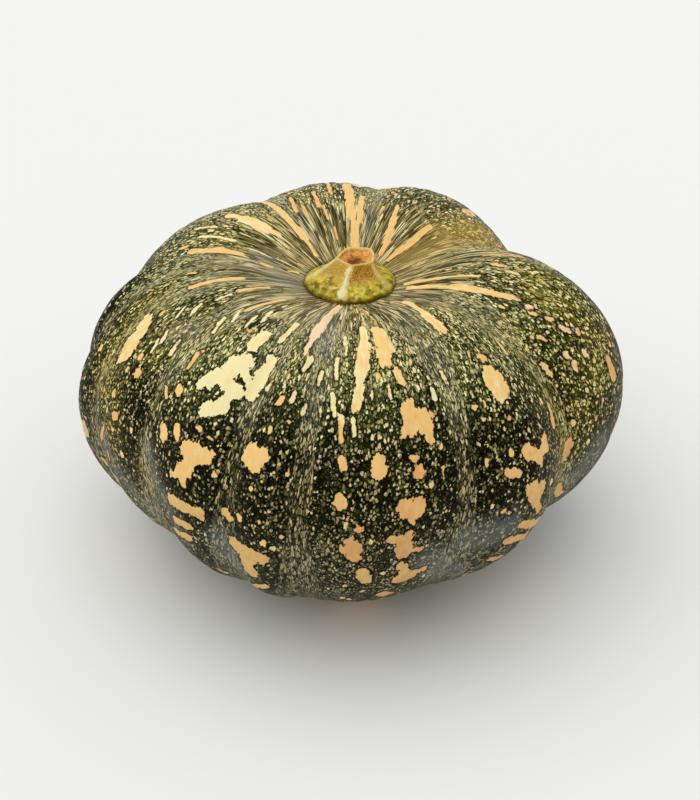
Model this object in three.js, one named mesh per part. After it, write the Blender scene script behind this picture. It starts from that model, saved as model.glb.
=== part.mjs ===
// A ribbed, flattened dark-green pumpkin with the stub of its cut stem, lying on its blossom end.
// Millimetres, +Z up, -Y is the front. The origin is on the surface it rests on, under the middle
// of its box. The fruit is one grown solid, and the stem is a second one seated in its dimple.

import * as THREE from 'three';

// The smooth body under the ribs: a flattened round, fuller below the equator than above it.
const equatorRadius = 121;
const upperHeight = 77.5;        // equator to crown, before the dimple is taken out
const lowerHeight = 83;      // equator to blossom end, before it is flattened
const planPower = 0.97;        // powers under 1 make the round squarer, over 1 more pointed
const upperPower = 1.03;
const lowerPower = 0.92;
const dimpleDepth = 28;        // the hollow round the stem
const dimpleRadius = 51;

// Ribs stand out along the smooth body's normal, and fade out round the stem and the blossom end.
const ribCrownPower = 1.6;     // 2 is a round arc across the rib, 1 a straight roof
const ribFadePower = 0.8;
const stemCalmRadius = 38;
const blossomCalmRadius = 60;
const creaseSoftness = 0.7;

// Furrows, going round from the front towards +X, each with the rib that follows it.
// angle and lean: degrees; lean is how far the furrow slants from equator to stem.
// depth: mm into the smooth body (negative where the furrow's own floor stands proud of it).
// rise: mm that the rib's crown stands above its furrows. topShare: how much more it rises on top.
const furrows = [
  { angle: 23, lean: 6, depth: -1.5, rise: 7.5, topShare: 0.8 },
  { angle: 56, lean: 0, depth: 4.5, rise: 19, topShare: 0.25 },
  { angle: 116, lean: 3, depth: 13, rise: 7, topShare: 0.8 },
  { angle: 168, lean: 3, depth: -4, rise: 6, topShare: -0.1 },
  { angle: 208, lean: 2, depth: -2, rise: 6, topShare: 0.15 },
  { angle: 258, lean: 2, depth: 1, rise: 5.5, topShare: 0.45 },
  { angle: 272, lean: -3, depth: -2.5, rise: 7, topShare: -0.7 },
  { angle: 289, lean: -6, depth: -3, rise: 2, topShare: 0.15 },
  { angle: 312, lean: -7, depth: 1, rise: 4.5, topShare: 0.3 },
  { angle: 335, lean: 2, depth: -3, rise: 5, topShare: 0.5 },
  { angle: 350, lean: 2, depth: -4.5, rise: 4.5, topShare: 0.7 },
];

// The blossom end: a small flat spot to rest on, with the blossom's scar in its middle.
const restLevel = -80.8;
const restTurn = 0.6;          // half the height over which the flat spot turns into the skin
const scarRadius = 8;
const scarDepth = 1.5;

// The stem's stub: a flared foot that follows the fruit, five ribs, a waist and a sunken cut face.
const seatGap = 0.35;
const cutOffset = new THREE.Vector2(3, 0.6);   // the cut face stands off the axis
const cutTilt = 0.07;                          // and rises towards the back
// Each rib of the stem. angle: degrees, from the front towards +X. reach: how far its foot spreads.
// waist: its distance from the middle of the cut face.
const stemRibs = [
  { angle: -12, reach: 20.2, waist: 9.5 },
  { angle: 60, reach: 22.4, waist: 9.9 },
  { angle: 132, reach: 20.4, waist: 10.8 },
  { angle: 204, reach: 17, waist: 9.6 },
  { angle: 276, reach: 21.4, waist: 9.5 },
];
// Down the outside of the foot and up to the cut face: shares of the foot's reach and of the waist
// that add up to the radius, the rise above the foot's edge, and the depth of the valleys between
// the ribs, as a share of the radius.
const stemOutline = [
  { foot: 1.0, waist: 0, rise: 1.4, valley: 0.02 },
  { foot: 0.99, waist: 0, rise: 3.0, valley: 0.03 },
  { foot: 0.92, waist: 0, rise: 4.4, valley: 0.06 },
  { foot: 0.68, waist: 0.15, rise: 5.8, valley: 0.12 },
  { foot: 0.34, waist: 0.6, rise: 7.8, valley: 0.16 },
  { foot: 0.1, waist: 0.88, rise: 10.4, valley: 0.15 },
  { foot: 0, waist: 1.0, rise: 12.6, valley: 0.12 },
  { foot: 0, waist: 0.88, rise: 13.4, valley: 0.12 },
  { foot: 0, waist: 0.56, rise: 12.5, valley: 0.08 },
];
const cutRise = Math.max(...stemOutline.map((row) => row.rise));
const cutMiddleRise = 11.6;

// Grid: columns follow the furrows, rows are evenly spaced down the body's side.
const columnWidth = 3.6;       // degrees
const fruitRowCount = 34;
const seatRings = [0.34, 0.66, 0.97];           // shares of the foot's reach under the stem
const profileSamples = 600;
const blossomRings = [27, 17, scarRadius, 4];   // radii on the flat spot and in the scar
const slopeStep = 1e-3;

const degrees = Math.PI / 180;

// Radius and height of the smooth body at an angle down from the crown.
function smoothBody(down) {
  const s = Math.max(Math.sin(down), 0);
  const c = Math.cos(down);
  const radius = equatorRadius * s ** planPower;
  const dimpleReach = c > 0 ? radius : equatorRadius;
  const dimple = dimpleDepth * Math.exp(-((dimpleReach / dimpleRadius) ** 2));
  const height = c > 0 ? upperHeight * c ** upperPower : -lowerHeight * (-c) ** lowerPower;
  return { radius, height: height - dimple };
}

// The same point with the body's outward normal in its own meridian plane.
function bodyFrame(down) {
  const here = smoothBody(down);
  const above = smoothBody(Math.max(down - slopeStep, 0));
  const below = smoothBody(Math.min(down + slopeStep, Math.PI));
  const outward = new THREE.Vector2(above.height - below.height, below.radius - above.radius);
  return { ...here, outward: outward.normalize() };
}

// How far the skin stands off the smooth body, across a rib from furrow to furrow.
function ribHeight(column, down) {
  const { furrow, next, across } = column;
  const crown = 1 - Math.abs(2 * across - 1) ** ribCrownPower;
  const rise = furrow.rise * crown * (1 + furrow.topShare * Math.cos(down));
  const blend = 0.5 - 0.5 * Math.cos(Math.PI * across);
  const floor = furrow.depth + (next.depth - furrow.depth) * blend;
  const calmRadius = down < Math.PI / 2 ? stemCalmRadius : blossomCalmRadius;
  const start = 1 - Math.exp(-((smoothBody(down).radius / calmRadius) ** 2));
  const fade = start * Math.max(Math.sin(down), 0) ** ribFadePower;
  return (Math.hypot(rise, creaseSoftness) - floor) * fade;
}

function columnAngle(column, down) {
  const { furrow, next, across, width } = column;
  const slant = (furrow.lean + (next.lean - furrow.lean) * across) * Math.cos(down);
  return (furrow.angle + width * across + slant) * degrees;
}

// Anything that would reach under the resting plane is flattened onto it, with a soft turn.
function settle(height) {
  const above = height - restLevel;
  if (above > restTurn) return height;
  if (above < -restTurn) return restLevel;
  return restLevel + (above + restTurn) ** 2 / (4 * restTurn);
}

function scarRise(radius) {
  const share = Math.min(radius / scarRadius, 1);
  return scarDepth * (1 - share ** 2) ** 2;
}

function skinPoint(column, down) {
  const { radius, height, outward } = bodyFrame(down);
  const off = ribHeight(column, down);
  const r = radius + outward.x * off;
  let z = settle(height + outward.y * off);
  if (down > Math.PI / 2) z += scarRise(r);
  const angle = columnAngle(column, down);
  return new THREE.Vector3(r * Math.sin(angle), -r * Math.cos(angle), z);
}

// Angles down from the crown, pole to pole, evenly spaced along the smooth body's side.
function evenAngles(count) {
  const lengths = [0];
  for (let i = 1; i <= profileSamples; i++) {
    const a = smoothBody((i - 1) / profileSamples * Math.PI);
    const b = smoothBody(i / profileSamples * Math.PI);
    lengths.push(lengths[i - 1] + Math.hypot(b.radius - a.radius, b.height - a.height));
  }
  const angles = [];
  for (let row = 1; row < count; row++) {
    const wanted = lengths[profileSamples] * row / count;
    const i = lengths.findIndex((length) => length >= wanted);
    const part = (wanted - lengths[i - 1]) / (lengths[i] - lengths[i - 1]);
    angles.push((i - 1 + part) / profileSamples * Math.PI);
  }
  return angles;
}

// A closed solid from rings of points listed top to bottom, with a point at each end.
function closedRings(top, rings, bottom) {
  const count = rings[0].length;
  const points = [top, ...rings.flat(), bottom];
  const last = points.length - 1;
  const index = [];
  for (let j = 0; j < count; j++) {
    const k = (j + 1) % count;
    index.push(0, 1 + j, 1 + k);
    for (let i = 0; i < rings.length - 1; i++) {
      const upper = 1 + i * count;
      const lower = upper + count;
      index.push(upper + j, lower + j, lower + k, upper + j, lower + k, upper + k);
    }
    const end = 1 + (rings.length - 1) * count;
    index.push(end + j, last, end + k);
  }
  const geometry = new THREE.BufferGeometry().setFromPoints(points);
  geometry.setIndex(index);
  geometry.computeVertexNormals();
  return geometry;
}

const columns = furrows.flatMap((furrow, k) => {
  const next = furrows[(k + 1) % furrows.length];
  const width = (next.angle - furrow.angle + 360) % 360;
  const steps = Math.round(width / columnWidth);
  return Array.from({ length: steps }, (_, i) => ({ furrow, next, width, across: i / steps }));
});

function fruitRings() {
  const blossomAngles = blossomRings.map((radius) => (
    Math.PI - Math.asin((radius / equatorRadius) ** (1 / planPower))
  ));
  const sideAngles = evenAngles(fruitRowCount);
  const space = sideAngles[1] - sideAngles[0];
  const angles = sideAngles.filter((down) => down < blossomAngles[0] - space / 2);
  return [...angles, ...blossomAngles].map((down) => columns.map((column) => skinPoint(column, down)));
}

const crown = skinPoint(columns[0], 0);
const blossomEnd = skinPoint(columns[0], Math.PI);
const skinRings = fruitRings();

// The point where a column of the fruit's own mesh reaches a radius, near the stem.
function onFruit(j, radius) {
  let inner = crown;
  for (const ring of skinRings) {
    const outer = ring[j];
    const r0 = Math.hypot(inner.x, inner.y);
    const r1 = Math.hypot(outer.x, outer.y);
    if (r1 >= radius) return inner.clone().lerp(outer, (radius - r0) / (r1 - r0));
    inner = outer;
  }
  return inner.clone();
}

// Where an angle falls among the stem's ribs: how far out the foot and the waist are there, and
// the depth of the valley, 0 on a rib and 1 halfway between two of them.
function stemShape(angle) {
  const spacing = 360 / stemRibs.length;
  const turn = ((angle / degrees - stemRibs[0].angle) % 360 + 360) % 360;
  const k = Math.floor(turn / spacing);
  const share = turn / spacing - k;
  const from = stemRibs[k];
  const to = stemRibs[(k + 1) % stemRibs.length];
  const blend = 0.5 - 0.5 * Math.cos(Math.PI * share);
  return {
    angle,
    reach: from.reach + (to.reach - from.reach) * blend,
    waist: from.waist + (to.waist - from.waist) * blend,
    valley: Math.sin(Math.PI * share),
  };
}

function stemPoint(shape, row, footLevel, edgeLevel) {
  const up = row.rise / cutRise;
  const radius = row.foot * shape.reach + row.waist * shape.waist;
  const r = radius * (1 - row.valley * shape.valley);
  const x = r * Math.sin(shape.angle) + cutOffset.x * up ** 2;
  const y = -r * Math.cos(shape.angle) + cutOffset.y * up ** 2;
  const level = footLevel + (edgeLevel - footLevel) * up;
  return new THREE.Vector3(x, y, level + row.rise + cutTilt * y * up ** 2);
}

function stemRings() {
  const shapes = columns.map((column) => stemShape(columnAngle(column, 0)));
  const feet = shapes.map(({ reach }, j) => onFruit(j, reach));
  const edgeLevel = feet.reduce((sum, point) => sum + point.z, 0) / feet.length;
  const outside = stemOutline.map((row) => (
    shapes.map((shape, j) => stemPoint(shape, row, feet[j].z, edgeLevel))
  ));
  const under = seatRings.map((share) => shapes.map(({ reach }, j) => {
    const seat = onFruit(j, reach * share);
    seat.z += seatGap;
    return seat;
  }));
  const top = new THREE.Vector3(cutOffset.x, cutOffset.y, edgeLevel + cutMiddleRise);
  const bottom = crown.clone();
  bottom.z += seatGap;
  return { top, rings: [...outside.reverse(), ...under.reverse()], bottom };
}

function makeFruit() {
  const skin = new THREE.MeshStandardMaterial({ color: 0x3d4426, roughness: 0.5, metalness: 0 });
  const fruit = new THREE.Mesh(closedRings(crown, skinRings, blossomEnd), skin);
  fruit.name = 'fruit';
  return fruit;
}

function makeStem() {
  const cork = new THREE.MeshStandardMaterial({ color: 0x9a8a35, roughness: 0.65, metalness: 0 });
  const { top, rings, bottom } = stemRings();
  const stem = new THREE.Mesh(closedRings(top, rings, bottom), cork);
  stem.name = 'stem';
  return stem;
}

const pumpkin = new THREE.Group();
pumpkin.add(makeFruit(), makeStem());
const box = new THREE.Box3().setFromObject(pumpkin);
const middle = box.getCenter(new THREE.Vector3());
pumpkin.position.set(-middle.x, -middle.y, -box.min.z);

export default pumpkin;
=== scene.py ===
import math
import bpy
import numpy as np
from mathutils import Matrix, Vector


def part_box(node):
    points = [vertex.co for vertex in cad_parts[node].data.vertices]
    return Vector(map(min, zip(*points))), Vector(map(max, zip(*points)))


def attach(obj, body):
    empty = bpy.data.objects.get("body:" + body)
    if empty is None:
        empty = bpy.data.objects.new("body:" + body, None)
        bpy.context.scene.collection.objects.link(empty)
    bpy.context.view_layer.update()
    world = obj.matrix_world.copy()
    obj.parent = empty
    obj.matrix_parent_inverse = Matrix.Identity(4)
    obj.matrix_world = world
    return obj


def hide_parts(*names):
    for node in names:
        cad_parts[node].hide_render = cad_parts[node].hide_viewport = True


# A ribbed dark-green pumpkin with cream flecks and patches and the stub of its cut stem, standing
# on its blossom end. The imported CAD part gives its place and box; the fine skin is worked out here.

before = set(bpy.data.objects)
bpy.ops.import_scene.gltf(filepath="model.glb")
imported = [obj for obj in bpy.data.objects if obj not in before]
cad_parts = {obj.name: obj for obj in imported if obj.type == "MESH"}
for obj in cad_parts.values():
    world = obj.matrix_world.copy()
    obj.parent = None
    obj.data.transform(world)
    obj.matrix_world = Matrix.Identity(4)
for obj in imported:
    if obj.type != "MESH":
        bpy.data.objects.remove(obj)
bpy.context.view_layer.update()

mm = 0.001
degree = math.pi / 180
seed = 20261130


# Camera: the photograph's view. Pixels are in its 700 by 800 frame.
photo = {
    "width": 700,
    "height": 800,
    "elevation": 34.84,      # degrees that the camera stands above level, looking along +Y
    "distance": 726 * mm,    # from the middle of the fruit
    "lens": 67.2,            # mm, on a sensor of 36 mm along the photograph's longer side
    "sensor": 36.0,
    "middleX": 349.5,        # pixel on which the middle of the fruit falls
    "middleY": 374.1,
}

# The smooth body under the ribs, as the CAD part has it.
body = {
    "equatorRadius": 121 * mm,
    "upperHeight": 77.5 * mm,
    "lowerHeight": 83 * mm,
    "planPower": 0.97,
    "upperPower": 1.03,
    "lowerPower": 0.92,
    "dimpleDepth": 28 * mm,
    "dimpleRadius": 51 * mm,
    "ribCrownPower": 1.6,
    "ribFadePower": 0.8,
    "stemCalm": 38 * mm,         # radius within which the ribs fade out round the stem
    "blossomCalm": 60 * mm,      # and round the blossom end
    "calmTurns": (60, 120),      # degrees down between which the one gives way to the other
    "creaseSoftness": 0.7 * mm,
    "restLevel": -80.8 * mm,
    "restTurn": 0.6 * mm,
    "scarRadius": 8 * mm,
    "scarDepth": 1.5 * mm,
}

# Furrows round from the front towards +X, each with the rib after it:
# angle and lean in degrees, depth and rise in mm, and what the rise gains at the top, as a share.
furrows = np.array([
    (23, 6, -1.5, 7.5, 0.8),
    (56, 0, 4.5, 19, 0.25),
    (116, 3, 13, 7, 0.8),
    (168, 3, -4, 6, -0.1),
    (208, 2, -2, 6, 0.15),
    (258, 2, 1, 5.5, 0.45),
    (272, -3, -2.5, 7, -0.7),
    (289, -6, -3, 2, 0.15),
    (312, -7, 1, 4.5, 0.3),
    (335, 2, -3, 5, 0.5),
    (350, 2, -4.5, 4.5, 0.7),
])
furrowAngle, furrowLean, furrowDepth, ribRise, ribTop = furrows.T
furrowDepth = furrowDepth * mm
ribRise = ribRise * mm
ribWidth = (np.roll(furrowAngle, -1) - furrowAngle) % 360
nextLean = np.roll(furrowLean, -1)
nextDepth = np.roll(furrowDepth, -1)

skinGrid = {
    "columns": 600,
    "rows": 163,
    "profileSteps": 4001,
    "inset": 0.12 * mm,          # keeps the fine skin inside the CAD box
    "bumpDepth": 0.35 * mm,      # the fine unevenness of the skin, taken inwards
    "bumpWaves": (40, (20, 110), (14 * mm, 60 * mm)),
    "veinDepth": 0.3 * mm,       # shallow ridges that run from stem to blossom
    "veinWaves": (24, (25, 95), (150 * mm, 700 * mm)),
    "standing": (0.5 * mm, 5 * mm),     # heights over the floor between which both come in
    "seenSlope": 0.02,           # skin that faces the camera less than this takes no mark
    "snapReach": 2,              # grid steps that a mark may be moved from the nearest point
    "deepestMark": 8,            # mm, past which the depth inside a mark makes no difference
    "gapRadius": 70 * mm,        # furrow gaps are never measured on a smaller radius than this
    "shortestRun": 1e-6,         # metres, so that the run of a dot never divides by nothing
}


def smoothStep(values, low, high):
    # 0 up to low, 1 from high on, with level ends between
    share = np.clip((values - low) / (high - low), 0, 1)
    return share * share * (3 - 2 * share)


# Radius and height of the smooth body at an angle down from the crown: powers of its sine and
# cosine, less a bell-shaped dimple round the axis.
def smoothBody(down):
    s = np.maximum(np.sin(down), 0)
    c = np.cos(down)
    radius = body["equatorRadius"] * s ** body["planPower"]
    reach = np.where(c > 0, radius, body["equatorRadius"])
    dimple = body["dimpleDepth"] * np.exp(-(reach / body["dimpleRadius"]) ** 2)
    top = body["upperHeight"] * np.maximum(c, 0) ** body["upperPower"]
    bottom = body["lowerHeight"] * np.maximum(-c, 0) ** body["lowerPower"]
    return radius, top - bottom - dimple


# The skin at a furrow's number, a share across its rib and an angle down from the crown. It stands
# off the smooth body along its normal by the rib's arch less the furrow's depth, less the relief.
def skinPoints(down, rib, across, relief=0.0):
    slopeStep = 1e-3
    radius, height = smoothBody(down)
    radiusAbove, heightAbove = smoothBody(np.maximum(down - slopeStep, 0))
    radiusBelow, heightBelow = smoothBody(np.minimum(down + slopeStep, math.pi))
    outRadius = heightAbove - heightBelow
    outHeight = radiusBelow - radiusAbove
    length = np.hypot(outRadius, outHeight)
    arch = 1 - np.abs(2 * across - 1) ** body["ribCrownPower"]
    rise = ribRise[rib] * arch * (1 + ribTop[rib] * np.cos(down))
    ease = 0.5 - 0.5 * np.cos(math.pi * across)
    floor = furrowDepth[rib] + (nextDepth[rib] - furrowDepth[rib]) * ease
    lowShare = smoothStep(down / degree, *body["calmTurns"])
    calm = body["stemCalm"] + (body["blossomCalm"] - body["stemCalm"]) * lowShare
    fade = 1 - np.exp(-(radius / calm) ** 2)
    fade = fade * np.maximum(np.sin(down), 0) ** body["ribFadePower"]
    off = (np.hypot(rise, body["creaseSoftness"]) - floor) * fade - relief
    r = radius + outRadius / length * off
    z = settle(height + outHeight / length * off)
    scar = (1 - np.minimum(r / body["scarRadius"], 1) ** 2) ** 2
    z = z + np.where(down > math.pi / 2, body["scarDepth"] * scar, 0)
    slant = (furrowLean[rib] + (nextLean[rib] - furrowLean[rib]) * across) * np.cos(down)
    turn = (furrowAngle[rib] + ribWidth[rib] * across + slant) * degree
    return np.stack([r * np.sin(turn), -r * np.cos(turn), z], axis=-1)


# What would reach under the resting plane is flattened onto it: a parabola joins the plane and the
# untouched height, from one turn under the plane to one turn over it.
def settle(height):
    level, turn = body["restLevel"], body["restTurn"]
    above = height - level
    soft = level + (above + turn) ** 2 / (4 * turn)
    return np.where(above > turn, height, np.where(above < -turn, level, soft))


# A smooth uneven field from -1 to 1 that closes round the fruit: a seeded sum of cosine waves, each
# with a whole number of turns round and its own length along.
def waveField(turn, along, waveCount, turns, lengths, draw):
    field = np.zeros(np.broadcast(turn, along).shape)
    for _ in range(waveCount):
        times = draw.integers(*turns)
        length = draw.uniform(*lengths)
        phase = draw.uniform(0, 2 * math.pi)
        side = draw.choice([-1, 1])
        field += np.cos(times * turn + side * 2 * math.pi * along / length + phase)
    return np.tanh(field / math.sqrt(waveCount))


draw = np.random.default_rng(seed)
steps = np.round(ribWidth / 360 * skinGrid["columns"]).astype(int)
rib = np.repeat(np.arange(len(furrows)), steps)[None, :]
across = np.concatenate([np.arange(n) / n for n in steps])[None, :]
turn = (furrowAngle[rib] + ribWidth[rib] * across) * degree

# Rows are evenly spaced along the smooth body's side, from the crown to the blossom end.
profileDown = np.linspace(0, math.pi, skinGrid["profileSteps"])
profileRadius, profileHeight = smoothBody(profileDown)
profileStep = np.hypot(np.diff(profileRadius), np.diff(profileHeight))
profileLength = np.concatenate([[0], np.cumsum(profileStep)])
along = np.linspace(0, profileLength[-1], skinGrid["rows"] + 2)[1:-1, None]
down = np.interp(along, profileLength, profileDown)

plain = skinPoints(down, rib, across)
bumps = waveField(turn, along, *skinGrid["bumpWaves"], draw)
veins = waveField(turn, along, *skinGrid["veinWaves"], draw)
standing = smoothStep(plain[..., 2] - body["restLevel"], *skinGrid["standing"])
relief = (0.5 + 0.5 * bumps) * skinGrid["bumpDepth"] + (0.5 + 0.5 * veins) * skinGrid["veinDepth"]
relief = relief + skinGrid["inset"]
skin = skinPoints(down, rib, across, relief * standing)

# The fruit's own frame is moved onto the CAD node: both boxes share their middle and their floor.
nodeLow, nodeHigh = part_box("fruit")
plainMiddle = (plain.reshape(-1, 3).min(0) + plain.reshape(-1, 3).max(0)) / 2
move = np.array([
    (nodeLow.x + nodeHigh.x) / 2 - plainMiddle[0],
    (nodeLow.y + nodeHigh.y) / 2 - plainMiddle[1],
    nodeLow.z - body["restLevel"],
])
skin = skin + move
crownPoint = skinPoints(np.array(0.0), 0, 0.0) + move
blossomPoint = skinPoints(np.array(math.pi), 0, 0.0) + move
print("fruit moved by", move, "grid", skin.shape)

# The camera's own axes, used to place the marks that were read from the photograph.
tilt = photo["elevation"] * degree
ahead = np.array([0, math.cos(tilt), -math.sin(tilt)])
above = np.array([0, math.sin(tilt), math.cos(tilt)])
eye = move - photo["distance"] * ahead
focal = photo["lens"] / photo["sensor"] * photo["height"]


# Photo pixel of points in the row frame, through the scene's own camera, and how deep they lie.
def photoPlace(points):
    offset = points - eye
    depth = offset @ ahead
    x = photo["middleX"] + focal * offset[..., 0] / depth
    y = photo["middleY"] - focal * (offset @ above) / depth
    return x, y, depth


# Outward normals of a grid that closes round: down the side crossed with round it.
def gridNormals(grid):
    downStep = np.gradient(grid, axis=0)
    roundStep = np.roll(grid, -1, axis=1) - np.roll(grid, 1, axis=1)
    normal = np.cross(downStep, roundStep)
    return normal / np.linalg.norm(normal, axis=-1, keepdims=True)


skinX, skinY, skinDepth = photoPlace(skin)
facing = -np.einsum("ijk,ijk->ij", gridNormals(skin), (skin - eye) / skinDepth[..., None])
skinRadius = np.hypot(skin[..., 0] - move[0], skin[..., 1] - move[1])

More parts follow.
